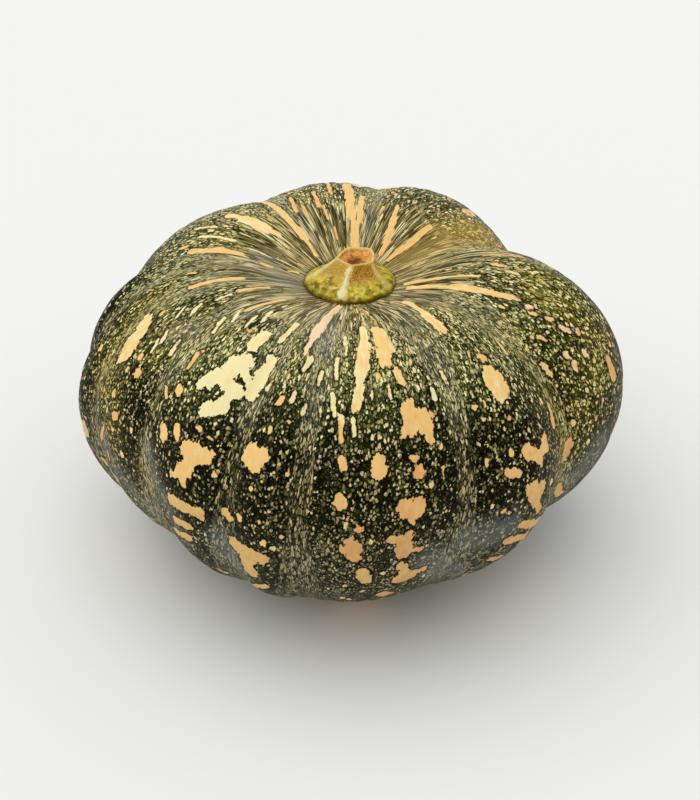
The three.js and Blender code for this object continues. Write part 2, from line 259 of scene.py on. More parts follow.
# Marks read from the photograph, by region: a warmth and the strokes and dots that have it.
# Warmth is 0 for pale yellow, 0.5 for yellow-orange, 1 for peach and from 1.4 on for a pale pink. A
# stroke runs from one photo pixel to another, a dot sits on one, and both end with their width in mm.
marks = {
    "leftSide": [
        (0.3, [(146, 322, 138, 334, 9), (138, 334, 127, 350, 11), (126, 352, 119, 360, 4)]),
        (0.5, [(127, 370, 3), (137, 373, 4.8), (126, 405, 2.4), (121, 392, 2), (157, 445, 2.4)]),
        (0.7, [(104, 387, 104, 391, 2.6), (114, 393, 114, 396, 4), (113, 416, 117, 416, 3.8)]),
        (0.8, [(104, 426, 101, 439, 3), (88, 444, 97, 463, 5)]),
        (0.8, [(106, 462, 119, 482, 6), (108, 452, 109, 459, 3)]),
    ],
    "birdPatch": [
        (0.1, [
            (202, 383, 222, 376, 6), (222, 376, 244, 362, 8.5), (225, 380, 236, 392, 6.5),
            (204, 410, 221, 407, 6), (221, 405, 233, 392, 4.6), (273, 361, 251, 395, 5.6),
            (242, 370, 248, 380, 4),
        ]),
    ],
    "lowerLeft": [
        (0.5, [
            (188, 450, 204, 455, 8), (196, 458, 182, 470, 7), (172, 474, 188, 474, 4.5),
            (182, 474, 184, 486, 3),
        ]),
        (0.5, [(247, 458, 262, 456, 7), (252, 452, 256, 464, 8)]),
        (0.5, [(163, 428, 163, 436, 5.4), (177, 427, 177, 436, 4)]),
        (0.5, [(199, 428, 3), (169, 453, 3), (208, 436, 2.4), (212, 441, 2), (251, 489, 2.6)]),
        (0.6, [(172, 500, 199, 514, 6), (175, 520, 190, 527, 4), (176, 531, 189, 538, 4.6)]),
        (0.7, [(225, 511, 229, 518, 4.4)]),
        (0.65, [(236, 545, 252, 556, 8.5), (252, 556, 264, 559, 6.5), (246, 560, 250, 571, 8)]),
        (0.5, [(247, 583, 265, 586, 4), (218, 569, 227, 573, 3)]),
    ],
    "front": [
        (0.7, [(334, 502, 346, 501, 3), (339, 496, 340, 508, 3), (338, 500, 342, 504, 4.6)]),
        (0.6, [(341, 460, 343, 468, 3.8), (340, 422, 341, 442, 2)]),
        (0.8, [(345, 550, 357, 549, 5.6), (351, 544, 353, 557, 6.6)]),
        (0.95, [(359, 529, 4.2)]),
        (0.6, [(363, 573, 366, 580, 6.4), (358, 572, 364, 574, 3)]),
        (0.8, [(382, 594, 388, 594, 6)]),
        (0.6, [(379, 463, 380, 471, 7)]),
        (0.8, [(412, 458, 418, 458, 2.8), (417, 466, 421, 466, 2.6), (415, 475, 424, 474, 3.2)]),
        (0.7, [(443, 469, 3), (444, 480, 2.8), (452, 490, 2.6), (330, 455, 2.4)]),
        (0.5, [(281, 400, 3.8), (277, 403, 3), (289, 421, 2.4), (281, 443, 2.6), (289, 466, 2.4)]),
        (0.5, [(287, 475, 2.4), (261, 482, 2.4), (260, 505, 2.6), (259, 522, 2.6), (281, 537, 2.6)]),
        (0.6, [
            (408, 408, 411, 428, 7), (411, 418, 424, 416, 8), (423, 416, 427, 430, 6),
            (427, 428, 431, 440, 3.6), (405, 428, 404, 436, 3.4), (410, 400, 410, 408, 2.6),
        ]),
        (0.8, [(402, 505, 422, 502, 5), (407, 509, 418, 510, 8), (410, 515, 413, 522, 3.4)]),
        (0.75, [
            (409, 535, 404, 542, 5.5), (391, 539, 404, 541, 4.4), (403, 543, 404, 552, 7.5),
            (408, 550, 421, 549, 2.8),
        ]),
        (0.7, [(401, 566, 405, 572, 5), (398, 580, 412, 575, 6.5), (412, 573, 423, 569, 4.5)]),
    ],
    "rightSide": [
        (0.4, [(493, 378, 500, 389, 10.5), (488, 369, 492, 375, 5)]),
        (0.5, [(474, 407, 3.4), (484, 420, 2.6), (530, 430, 3.2), (531, 399, 3.6), (557, 386, 2.4)]),
        (0.9, [(503, 414, 2.8), (509, 417, 2.8), (509, 491, 2.6), (596, 419, 3.2), (575, 311, 2)]),
        (0.65, [
            (526, 451, 538, 455, 6.5), (544, 438, 546, 448, 5), (538, 454, 547, 448, 5),
            (539, 455, 541, 462, 4.5),
        ]),
        (0.7, [(508, 473, 519, 473, 4), (486, 458, 487, 466, 2.4)]),
        (0.7, [(530, 490, 543, 487, 6), (534, 489, 537, 500, 8), (537, 500, 539, 509, 5)]),
        (0.75, [(522, 524, 541, 519, 5), (506, 541, 526, 535, 5), (490, 559, 500, 557, 4)]),
        (0.6, [(502, 513, 508, 508, 2.2), (504, 517, 511, 513, 2)]),
        (0.75, [(548, 404, 553, 425, 4.2), (569, 443, 564, 458, 5.5), (557, 487, 559, 494, 6)]),
        (1.4, [
            (558, 343, 2.8), (575, 344, 2.6), (583, 378, 2.6), (587, 390, 3), (597, 403, 2.6),
            (598, 396, 2), (569, 373, 2), (547, 332, 2.2), (538, 322, 2.2), (591, 398, 2.2),
        ]),
        (1.4, [
            (565, 353, 567, 356, 3.2), (584, 351, 586, 355, 3.6), (574, 362, 576, 370, 2.6),
            (561, 327, 569, 331, 3.2), (577, 330, 579, 334, 3), (526, 306, 531, 307, 2.8),
        ]),
        (0.85, [(609, 362, 614, 376, 6), (623, 382, 625, 402, 5)]),
        (0.5, [(531, 313, 536, 314, 2.6), (547, 318, 552, 320, 2.6), (541, 363, 551, 375, 2.8)]),
    ],
    "stemFront": [
        (0.3, [(363, 328, 365, 345, 3.4), (365, 345, 361, 370, 6), (361, 370, 356, 408, 4.2)]),
        (0.4, [(377, 330, 385, 362, 5.5), (382, 332, 391, 350, 4), (396, 370, 403, 384, 3.4)]),
        (0.35, [(404, 302, 425, 314, 2.8), (425, 314, 443, 330, 4.8)]),
        (1.6, [(340, 306, 322, 325, 3.2), (322, 325, 314, 336, 4.4), (314, 336, 304, 354, 2.4)]),
        (0.2, [
            (311, 358, 304, 369, 2.8), (353, 418, 354, 436, 2), (337, 358, 336, 381, 2),
            (333, 394, 334, 416, 2.2), (341, 416, 342, 423, 2.4), (432, 389, 435, 399, 2.4),
            (345, 336, 346, 356, 1.6), (322, 372, 318, 386, 2), (296, 392, 291, 402, 2.2),
            (388, 385, 390, 397, 2.2), (372, 392, 371, 404, 2), (441, 372, 447, 384, 2),
            (306, 404, 303, 414, 2), (272, 382, 266, 391, 2), (321, 404, 320, 416, 1.8),
        ]),
        (0.2, [(298, 324, 280, 342, 2.2), (264, 334, 251, 347, 5)]),
        (0.7, [(188, 368, 195, 357, 2.4), (197, 354, 208, 349, 2.4), (245, 330, 256, 330, 2.2)]),
        (0.5, [(179, 388, 179, 394, 3.6), (166, 387, 166, 397, 2.2)]),
    ],
    "stemRight": [
        (0.4, [
            (404, 284, 440, 278, 1.8), (440, 278, 480, 276, 1.8), (408, 288, 455, 288, 2.4),
            (455, 288, 494, 293, 3.8), (494, 293, 510, 297, 3.2), (510, 297, 520, 300, 1.8),
        ]),
        (0.6, [(494, 338, 507, 354, 2.4), (480, 357, 485, 359, 3.4), (482, 256, 558, 269, 2)]),
        (0.6, [(452, 328, 2.8), (464, 337, 2.6), (538, 336, 546, 341, 2)]),
    ],
    "stemBehind": [
        (0.5, [(347, 184, 351, 216, 5.2), (362, 197, 359, 222, 3.6), (354, 222, 355, 246, 4.4)]),
        (0.6, [(397, 206, 393, 222, 2.8), (393, 222, 386, 242, 4.2), (386, 242, 381, 253, 3)]),
        (0.6, [(430, 227, 414, 240, 3.6), (414, 240, 398, 252, 3.6), (398, 252, 388, 260, 2.6)]),
        (0.45, [(259, 201, 285, 216, 5.2), (285, 216, 305, 238, 4.4), (305, 238, 317, 256, 2.6)]),
        (0.3, [
            (230, 216, 245, 219, 5), (245, 219, 264, 228, 8), (264, 228, 279, 235, 4),
            (196, 229, 215, 227, 2.6),
        ]),
        (1.3, [(207, 213, 222, 209, 7), (466, 212, 472, 213, 6.4)]),
        (0.7, [
            (290, 197, 297, 212, 2.4), (313, 192, 319, 206, 2.4), (327, 183, 331, 194, 2.6),
            (302, 205, 309, 219, 1.8), (334, 226, 337, 239, 1.6), (323, 205, 328, 219, 1.8),
        ]),
        (1.1, [
            (405, 197, 2.8), (414, 203, 2.6), (423, 196, 2.8), (431, 202, 2.6), (438, 209, 2.6),
            (446, 204, 2.8), (428, 213, 2.2), (452, 216, 2.6),
        ]),
    ],
    "leftShoulder": [
        (0.15, [
            (168, 330, 161, 343, 2.4), (179, 341, 170, 355, 2.2), (201, 304, 190, 316, 2.2),
            (213, 333, 224, 318, 2.2), (232, 322, 240, 311, 2), (176, 318, 186, 306, 2),
            (152, 352, 158, 340, 2), (246, 327, 256, 316, 2), (262, 322, 272, 311, 2),
            (216, 300, 232, 294, 1.8), (199, 237, 236, 241, 2.4),
        ]),
    ],
    "stemLeft": [
        (0.55, [
            (190, 252, 214, 251, 4), (214, 251, 238, 255, 6), (238, 255, 268, 265, 4.6),
            (268, 267, 298, 272, 2),
        ]),
        (0.5, [(190, 288, 243, 278, 2.8), (238, 291, 269, 288, 2.6), (246, 311, 284, 300, 2.4)]),
    ],
}


# Where photo pixels fall on the skin, as an angle round and a length along: the nearest facing
# grid point, moved by one linear step to the pixel itself.
def skinPlaces(x, y):
    rough = (skinX - x[:, None, None]) ** 2 + (skinY - y[:, None, None]) ** 2
    rough = np.where(facing > skinGrid["seenSlope"], rough, np.inf)
    flat = rough.reshape(len(x), -1).argmin(1)
    i, j = np.unravel_index(flat, skinX.shape)
    i = np.clip(i, 1, skinX.shape[0] - 2)
    count = skinX.shape[1]
    left, right = (j - 1) % count, (j + 1) % count
    xDown = (skinX[i + 1, j] - skinX[i - 1, j]) / 2
    yDown = (skinY[i + 1, j] - skinY[i - 1, j]) / 2
    xRound = (skinX[i, right] - skinX[i, left]) / 2
    yRound = (skinY[i, right] - skinY[i, left]) / 2
    area = xDown * yRound - xRound * yDown
    missX, missY = x - skinX[i, j], y - skinY[i, j]
    most = skinGrid["snapReach"]
    stepDown = np.clip((missX * yRound - xRound * missY) / area, -most, most)
    stepRound = np.clip((xDown * missY - missX * yDown) / area, -most, most)
    turnStep = (turn[0, right] - turn[0, left] + math.pi) % (2 * math.pi) - math.pi
    return turn[0, j] + stepRound * turnStep / 2, along[i, 0] + stepDown * (along[1, 0] - along[0, 0])


# Strokes given in photo pixels, each as a turn and a length along at either end and half its width.
def placeStrokes(strokes):
    strokes = np.array(strokes, float)
    turnA, alongA = skinPlaces(strokes[:, 0], strokes[:, 1])
    turnB, alongB = skinPlaces(strokes[:, 2], strokes[:, 3])
    return np.stack([turnA, alongA, turnB, alongB, strokes[:, 4] / 2 * mm], axis=1)


# Depth inside the nearest stroke, in metres and negative outside it, that stroke's warmth and half
# its width. A stroke is a straight run in the skin's own unrolled frame, with round ends.
def strokeField(strokes, warmths):
    inside = np.full(skinX.shape, -1.0)
    warmth = np.zeros(skinX.shape)
    reach = np.zeros(skinX.shape)
    for (turnA, alongA, turnB, alongB, half), warm in zip(strokes, warmths):
        roundA = ((turnA - turn + math.pi) % (2 * math.pi) - math.pi) * skinRadius
        roundB = roundA + ((turnB - turnA + math.pi) % (2 * math.pi) - math.pi) * skinRadius
        lengthA, lengthB = alongA - along, alongB - along
        runRound, runLength = roundB - roundA, lengthB - lengthA
        square = np.maximum(runRound ** 2 + runLength ** 2, skinGrid["shortestRun"] ** 2)
        part = np.clip(-(roundA * runRound + lengthA * runLength) / square, 0, 1)
        depth = half - np.hypot(roundA + part * runRound, lengthA + part * runLength)
        warmth = np.where(depth > inside, warm, warmth)
        reach = np.where(depth > inside, half, reach)
        inside = np.maximum(inside, depth)
    return inside, warmth, reach


flatStrokes = []
flatWarmth = []
for warm, places in sum(marks.values(), []):
    flatStrokes += [place if len(place) == 5 else place[:2] + place for place in places]
    flatWarmth += [warm] * len(places)
seenStrokes = placeStrokes(flatStrokes)
print("marks placed:", len(seenStrokes), "strokes")

# The sides that the photograph doesn't show get marks of the same kinds, drawn with a fixed seed.
hiddenMarks = {
    "patchCount": 150,
    "streakCount": 26,
    "patchAlong": (70 * mm, 262 * mm),
    "patchWidth": (3 * mm, 10 * mm),
    "patchStrokes": (1, 5),
    "patchSpread": 0.55,     # spread of a patch's strokes round its centre, as a share of its width
    "patchWarmth": (0.2, 0.95),
    "smallShare": 0.7,       # under 1, so that small patches are more common than large ones
    "streakAlong": (34 * mm, 60 * mm),
    "streakLength": (14 * mm, 32 * mm),
    "streakWidth": (1.6 * mm, 4.4 * mm),
    "streakWarmth": (0.3, 0.9),
    "clearOfView": 0.06,     # a mark is dropped where the camera sees the skin at a wider slope
}


def seenAt(t, a):
    # how squarely the skin at a turn and a length along faces the camera
    row = np.abs(along[:, 0] - a).argmin()
    column = np.abs((turn[0] - t + math.pi) % (2 * math.pi) - math.pi).argmin()
    return facing[row, column]


def hiddenStrokes():
    # patches of one to four strokes round a centre, then streaks along the ribs, all clear of the view
    strokes, warmths = [], []
    look = hiddenMarks
    for _ in range(look["patchCount"]):
        t, a = draw.uniform(0, 2 * math.pi), draw.uniform(*look["patchAlong"])
        wide = look["patchWidth"][0] + draw.power(look["smallShare"]) * np.ptp(look["patchWidth"])
        warm = draw.uniform(*look["patchWarmth"])
        places = draw.normal(0, look["patchSpread"] * wide, (draw.integers(*look["patchStrokes"]), 4))
        if seenAt(t, a) > look["clearOfView"]:
            continue
        r = np.interp(a, along[:, 0], skinRadius.mean(1))
        for roundA, lengthA, roundB, lengthB in places:
            strokes.append((t + roundA / r, a + lengthA, t + roundB / r, a + lengthB, wide / 2))
            warmths.append(warm)
    for _ in range(look["streakCount"]):
        t, a = draw.uniform(0, 2 * math.pi), draw.uniform(*look["streakAlong"])
        length, wide = draw.uniform(*look["streakLength"]), draw.uniform(*look["streakWidth"])
        warm = draw.uniform(*look["streakWarmth"])
        if seenAt(t, a) > look["clearOfView"]:
            continue
        strokes.append((t, a, t, a + length, wide / 2))
        warmths.append(warm)
    return np.array(strokes), np.array(warmths)


extraStrokes, extraWarmth = hiddenStrokes()
inside, warmth, markReach = strokeField(
    np.concatenate([seenStrokes, extraStrokes]), np.concatenate([flatWarmth, extraWarmth])
)
print("hidden marks:", len(extraStrokes), "strokes")


# Broad soft tints, read as the marks are: a sunned golden side, places with a grey wax bloom that is
# partly painted sheen, and the flanks beside the dark belt of the front, painted lighter as if lit from
# the side.
tints = {
    "gold": {"softness": 14 * mm, "strokes": [
        (446, 239, 492, 240, 8), (472, 228, 494, 240, 6), (408, 260, 446, 245, 1),
    ]},
    # a grey wax bloom, partly painted sheen
    "bloomAndSheen": {"softness": 9 * mm, "strokes": [
        (325, 322, 318, 345, 3), (470, 540, 505, 528, 10), (428, 560, 450, 572, 8),
        (222, 540, 236, 566, 6), (262, 262, 292, 286, 6), (170, 338, 190, 328, 1),
        (572, 480, 600, 446, 10), (148, 452, 170, 510, 3), (170, 510, 184, 538, 3),
        (104, 440, 150, 510, 4),
    ]},
    # painted light: the flanks made lighter as if lit from the side
    "paintedFlankLight": {"softness": 16 * mm, "strokes": [
        (118, 350, 108, 440, 14), (150, 300, 130, 340, 10), (150, 480, 170, 520, 10),
        (545, 290, 600, 340, 10), (592, 360, 585, 440, 14), (545, 400, 556, 490, 6),
        (562, 460, 556, 490, 10), (130, 480, 165, 530, 6), (506, 338, 526, 360, 2),
        (166, 342, 200, 324, 6), (226, 242, 262, 230, 6),
    ]},
}
tintRise = 0.3     # a tint is full this share of its softness inside its strokes


def tintField(name):
    # 1 inside a tint's strokes, falling softly to 0 round them
    placed = placeStrokes(tints[name]["strokes"])
    depth = strokeField(placed, np.zeros(len(placed)))[0]
    return smoothStep(depth, -tints[name]["softness"], tintRise * tints[name]["softness"])


def addObject(name, data):
    thing = bpy.data.objects.new(name, data)
    bpy.context.scene.collection.objects.link(thing)
    return thing


# A closed mesh from rows of points, top to bottom, with a point at each end. Faces point outwards.
def closedMesh(name, grid, top, bottom):
    rowCount, columnCount = grid.shape[:2]
    points = np.concatenate([[top], grid.reshape(-1, 3), [bottom]])
    here = np.arange(columnCount)
    there = (here + 1) % columnCount
    first = 1 + np.arange(rowCount - 1)[:, None] * columnCount
    quads = np.stack([
        first + here, first + columnCount + here, first + columnCount + there, first + there,
    ], axis=-1).reshape(-1, 4)
    last = 1 + (rowCount - 1) * columnCount
    topFaces = np.stack([np.zeros_like(here), 1 + here, 1 + there], axis=-1)
    bottomFaces = np.stack([last + here, np.full_like(here, len(points) - 1), last + there], axis=-1)
    mesh = bpy.data.meshes.new(name)
    mesh.from_pydata(points.tolist(), [], quads.tolist() + topFaces.tolist() + bottomFaces.tolist())
    mesh.shade_smooth()
    return addObject(name, mesh)


# Up to three values of each grid point carried to the mesh as one vector attribute; the two end
# points take their nearest row's mean.
def carryValues(piece, name, first, second, third=0.0):
    values = np.stack(np.broadcast_arrays(first, second, third), axis=-1)
    ends = values[0].mean(0), values[-1].mean(0)
    flat = np.concatenate([[ends[0]], values.reshape(-1, 3), [ends[1]]]).astype(np.float32)
    attribute = piece.data.attributes.new(name, "FLOAT_VECTOR", "POINT")
    attribute.data.foreach_set("vector", flat.ravel())


pumpkinSkin = closedMesh("pumpkinSkin", skin, crownPoint, blossomPoint)
furrowTurn = np.minimum(across, 1 - across) * ribWidth[rib] * degree
furrowGap = furrowTurn * np.maximum(skinRadius, skinGrid["gapRadius"])
markDepth = np.clip(inside / mm, -skinGrid["deepestMark"], skinGrid["deepestMark"])
unrolled = body["equatorRadius"]
carryValues(pumpkinSkin, "skinPlace", unrolled * np.cos(turn), unrolled * np.sin(turn), along)
carryValues(pumpkinSkin, "skinMarks", markDepth, warmth, furrowGap / mm)
carryValues(pumpkinSkin, "skinZone", along / along[-1, 0], skinRadius / mm, markReach / mm)
carryValues(pumpkinSkin, "skinTint", tintField("gold"), tintField("bloomAndSheen"), tintField("paintedFlankLight"))
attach(pumpkinSkin, "root")
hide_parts("fruit")
print("skin mesh:", len(pumpkinSkin.data.polygons), "faces")


# Small helpers for shader nodes. A value is either a number or another node's output.
def plug(node, values):
    # values by the name or number of the node's input
    for name, value in values.items():
        if isinstance(value, bpy.types.NodeSocket):
            node.id_data.links.new(value, node.inputs[name])
        else:
            node.inputs[name].default_value = value


def addNode(kind, values, **settings):
    # a node in the same tree as the first output among its values
    tree = next(value.id_data for value in values.values() if isinstance(value, bpy.types.NodeSocket))
    node = tree.nodes.new("ShaderNode" + kind)
    for name, setting in settings.items():
        setattr(node, name, setting)
    plug(node, values)
    return node


def calc(operation, *values):
    return addNode("Math", dict(enumerate(values)), operation=operation).outputs[0]


def times(first, second):
    return calc("MULTIPLY", first, second)


def swayed(value, pattern, size):
    # the value moved by a pattern from 0 to 1, by up to half the size either way
    return calc("ADD", value, times(calc("SUBTRACT", pattern, 0.5), size))


def ramp(value, low, high, toLow=0.0, toHigh=1.0):
    # smooth step from toLow at low to toHigh at high
    values = dict(enumerate((value, low, high, toLow, toHigh)))
    return addNode("MapRange", values, interpolation_type="SMOOTHSTEP").outputs[0]


def mixColour(share, first, second):
    return addNode("Mix", {0: share, 6: first, 7: second}, data_type="RGBA").outputs[2]


def mixValue(share, first, second):
    return addNode("Mix", {0: share, 2: first, 3: second}).outputs[0]


def stretched(place, around, lengthways):
    # the place in units of a feature's size round the fruit and along it
    scale = (1 / around, 1 / around, 1 / lengthways)
    return addNode("VectorMath", {0: place, 1: scale}, operation="MULTIPLY").outputs[0]


def noise(place, around, lengthways, detail, roughness=0.5):
    place = stretched(place, around, lengthways)
    values = {"Vector": place, "Scale": 1.0, "Detail": detail, "Roughness": roughness}
    return addNode("TexNoise", values).outputs["Fac"]


def cells(place, around, lengthways, feature="F1"):
    # cells round seeded points: Distance is to the nearest point, or to the nearest edge between two
    # cells, and Color is random for each cell
    values = {"Vector": stretched(place, around, lengthways), "Scale": 1.0}
    return addNode("TexVoronoi", values, feature=feature).outputs


def twoChances(colour):
    # two random numbers of a cell, from its random colour
    return addNode("SeparateColor", {0: colour}).outputs[:2]


def threeValues(tree, name):
    # what carryValues gave the mesh, as a vector and as its three parts
    node = tree.nodes.new("ShaderNodeAttribute")
    node.attribute_name = name
    vector = node.outputs["Vector"]
    return vector, addNode("SeparateXYZ", {0: vector}).outputs


def paint(red, green, blue):
    # an sRGB colour from 0 to 255 as linear light
    parts = [channel / 255 for channel in (red, green, blue)]
    return tuple(p / 12.92 if p <= 0.04045 else ((p + 0.055) / 1.055) ** 2.4 for p in parts) + (1.0,)


def newMaterial(name):
    material = bpy.data.materials.new(name)
    material.use_nodes = True
    return material, material.node_tree, material.node_tree.nodes["Principled BSDF"]


def finishShader(shader, base, look, grain, height):
    # colour, gloss and fine bumps, with the look's own roughness, specular level and bump
    bump = {"Strength": look["bumpStrength"], "Distance": look["bumpDistance"], "Height": height}
    plug(shader, {
        "Base Color": base,
        "Roughness": ramp(grain, *look["grain"], *look["roughness"]),
        "Specular IOR Level": look["specular"],
        "Normal": addNode("Bump", bump).outputs[0],
    })


# Colours and finish of the skin. A run lists the sRGB colours at the stops, which are shares of the
# way from stem to blossom: partly the skin's own colours, partly painted light on the shoulder and
# painted shade in the near-black belt. A flank colour takes the run's place on the flanks, which are
# painted lighter as if lit from the side.
skinLook = {
    "runStops": (0.1, 0.2, 0.3, 0.38, 0.46, 0.52, 0.62),
    # the near-black stops of the belt, at 0.38 and 0.46, are partly painted shade
    "groundDark": [(48, 45, 12), (10, 18, 0), (6, 14, 0), (0, 1, 0), (1, 2, 0), (14, 16, 0), (8, 10, 0)],
    "groundLight": [
        (126, 114, 68), (92, 92, 38), (66, 74, 18), (20, 24, 0), (30, 33, 4),
        (62, 62, 26), (48, 48, 18),
    ],
    "fleckDim": [
        (198, 178, 118), (190, 176, 112), (172, 164, 96), (94, 90, 40), (102, 97, 54),
        (146, 138, 106), (108, 104, 70),
    ],
    "fleckBright": [
        (250, 228, 170), (255, 242, 182), (255, 246, 184), (240, 220, 158), (218, 196, 142),
        (206, 190, 148), (168, 158, 112),
    ],
    # painted light: colours of the flanks, lighter as if lit from the side
    "paintedFlankLightColours": {
        "groundDark": paint(30, 32, 0),
        "groundLight": paint(100, 94, 28),
        "fleckDim": paint(204, 186, 96),
        "fleckBright": paint(255, 240, 166),
    },
    "gold": paint(214, 170, 62),
    "goldShare": 0.36,
    # grey of a wax bloom, partly painted sheen; also the grey of the furrows' bands
    "bloomAndSheen": paint(152, 156, 154),
    "bloomAndSheenShare": 0.28,
    "ring": paint(10, 14, 6),
    "dotCream": paint(242, 228, 166),
    "paleYellow": paint(251, 238, 178),
    "yellowOrange": paint(250, 206, 130),
    "peach": paint(238, 178, 116),
    "palePink": paint(255, 224, 178),
    # painted shadow in the crease round the stem's foot
    "paintedFootShadow": paint(44, 38, 18),
    "scarBrown": paint(150, 124, 84),
    "zoneSway": 0.14,            # how far the limits of the zones waver, as shares of the way down
    "bandSway": 7.0,             # and those of the furrows' bands, in mm
    "speckleShare": 0.35,        # what speckle and slow clouds add to the mottle of the ground
    "slowShare": 0.25,
    "warmthSway": 0.9,
    "stemLobe": 0.8,             # mm by which the edge of a streak round the stem wavers
    "scarSway": 4.0,
    "patchProud": 0.4,           # how far patches stand off the skin, next to its grain
    "grain": (0.25, 0.75),
    "roughness": (0.36, 0.56),
    "specular": 0.055,
    "bumpStrength": 0.35,
    "bumpDistance": 0.12 * mm,
}

# Zones going down from the stem, and the bands of the furrows. ends are the shares of the way down
# between which a zone gives way to the next. mottle is the ground's: size round the fruit and along
# it, detail, roughness. net is a net of dim cells: spacing round and along, narrowest and widest gap.
# fleck is for brighter flecks: spacing, smallest and largest radius, softness. Gaps, radii and
# softness are shares of the spacing.
skinZones = {
    "streak": {
        "ends": (0.17, 0.2),
        "mottle": (3.4 * mm, 44 * mm, 4.0, 0.75),
        "net": (1.9 * mm, 16 * mm, 0.02, 0.2),
        "fleck": (2.8 * mm, 18 * mm, 0.1, 0.5, 0.12),
    },
    "dash": {
        "ends": (0.28, 0.3),
        "mottle": (1.8 * mm, 4.4 * mm, 3.0, 0.7),
        "net": (1.5 * mm, 2.2 * mm, 0.02, 0.22),
        "fleck": (1.8 * mm, 3.0 * mm, 0.12, 0.5, 0.12),
    },
    "short": {
        "ends": (0.375, 0.395),
        "mottle": (1.6 * mm, 2.8 * mm, 3.0, 0.7),
        "net": (1.4 * mm, 1.8 * mm, 0.06, 0.32),
        "fleck": (1.7 * mm, 2.3 * mm, 0.1, 0.48, 0.12),
    },
    "round": {
        "mottle": (1.4 * mm, 1.8 * mm, 3.0, 0.7),
        "fleck": (1.6 * mm, 1.9 * mm, 0.08, 0.42, 0.12),
    },
    "furrow": {
        "mottle": (1.2 * mm, 8.0 * mm, 3.0, 0.7),
        "net": (0.95 * mm, 2.8 * mm, 0.0, 0.18),
        "fleck": (1.0 * mm, 3.4 * mm, 0.1, 0.48, 0.14),
    },
}

# Patterns that cross the zones: size round the fruit and along it, detail, roughness.
skinPatterns = {
    "uneven": (16 * mm, 16 * mm, 2.0),
    "slow": (26 * mm, 40 * mm, 3.0),
    "speckle": (1.2 * mm, 1.2 * mm, 2.0, 0.7),
    "teeth": (2.1 * mm, 2.6 * mm, 2.0, 0.6),
    "longTeeth": (3 * mm, 10 * mm, 2.0, 0.6),
    "lobes": (5 * mm, 6 * mm, 1.0),
    "cloudy": (3 * mm, 5 * mm, 3.0, 0.6),
    "grain": (0.9 * mm, 1.1 * mm, 3.0),
}

# Smooth steps: the two values between which each runs, and what it gives there.
skinSteps = {
    "bandReach": (0.14, 0.36, 8.5, 3.5),           # half width of a furrow's band in mm, going down
    "bandSpread": (0.44, 0.6, 0.0, 6.0),           # what widens it again
    "bandEdge": (-2.0, 3.0, 1.0, 0.0),             # mm past that half width
    "bandLines": (0.45, 0.5),                      # share of the band at which its fine lines begin
    "bandGrey": (0.32, 0.38, 0.1, 0.02),           # share of grey in it, going down
    "paintedFlankLightBelow": (0.12, 0.26, 0.3, 1.0),          # where the flanks' painted light holds, going down
    "paintedFlankLightAbove": (0.4, 0.52, 1.0, 0.35),
    "groundLight": (0.7, 0.96),
    "netShare": (0.0, 0.6, 0.25, 1.0),             # by the cell's tone
    "netPlaces": (0.4, 0.54, 0.35, 1.0),           # by the slow clouds
    "netBright": (0.4, 1.0, 0.0, 0.55),
    "fleckBright": (0.0, 0.7),
    "fleckInBand": (0.0, 1.0, 1.0, 0.85),
    "clearOfPatch": (-3.5, -2.5, 1.0, 0.0),        # mm inside the nearest patch
    "clearOfBand": (0.1, 0.5, 1.0, 0.0),
    "toothSize": (0.8, 3.4, 2.0, 5.0),             # by half the width of the patch, in mm
    "longToothSize": (0.8, 3.4, 2.0, 4.0),
    "lobeSize": (0.8, 3.4, 0.8, 2.4),
    "patchEdge": (0.1, 0.45),
    "patchFade": (0.44, 0.5, 1.0, 0.84),
    "haloEdge": (-1.3, -0.1, 0.0, 0.75),
    "haloFrom": (0.16, 0.26),
    "yellowOrange": (0.1, 0.5),                    # by warmth
    "peach": (0.5, 0.95),
    "palePink": (1.2, 1.5),
    # painted shadow round the stem's foot
    "paintedFootShadow": (20.5, 22.8, 0.6, 0.0),                # by the radius in mm
    "scar": (8.0, 13.0, 1.0, 0.0),
    "scarFrom": (0.8, 0.85),
}

# Edges of cells and dots, in units of their spacing. ragged is how far noise moves them.
edgeLook = {
    "raggedSize": 0.5,
    "raggedDetail": 1.0,
    "fleckRagged": 0.9,
    "netRagged": 0.24,
    "netSoft": 0.09,
    "dotRadius": (0.14, 0.32),
    "dotNoise": (1.4 * mm, 2.0 * mm, 2.0),
    "dotRagged": 0.3,
    "dotEdge": (0.0, 0.04),
    "dotRing": (-0.12, -0.02),
    "ringShare": 0.7,
    "chanceStep": 0.01,
}

# Larger dots: spacing round the fruit and along it, and the share of the places that have one.
lowDots = [(5.5 * mm, 7 * mm, 0.4)]
highDots = [(6 * mm, 12 * mm, 0.5), (4.4 * mm, 8 * mm, 0.6)]


def colourRun(value, name):
    # one of the skin's runs of colours, read at a value
    stops = skinLook["runStops"]
    node = addNode("ValToRGB", {0: value})
    while len(node.color_ramp.elements) < len(stops):
        node.color_ramp.elements.new(0.5)
    for element, position, colour in zip(node.color_ramp.elements, stops, skinLook[name]):
        element.position = position
        element.color = paint(*colour)
    return node.outputs[0]


def raggedness(place, around, lengthways):
    size = edgeLook["raggedSize"]
    return noise(place, size * around, size * lengthways, edgeLook["raggedDetail"])


# Flecks: a ragged disc round each seeded point, as large as its own radius less the distance, with
# its own tone.
def flecks(place, around, lengthways, small, large, soft):
    spots = cells(place, around, lengthways)
    first, tone = twoChances(spots["Color"])
    ragged = raggedness(place, around, lengthways)
    reach = calc("SUBTRACT", ramp(first, 0.0, 1.0, small, large), spots["Distance"])
    return ramp(swayed(reach, ragged, edgeLook["fleckRagged"]), 0.0, soft), tone


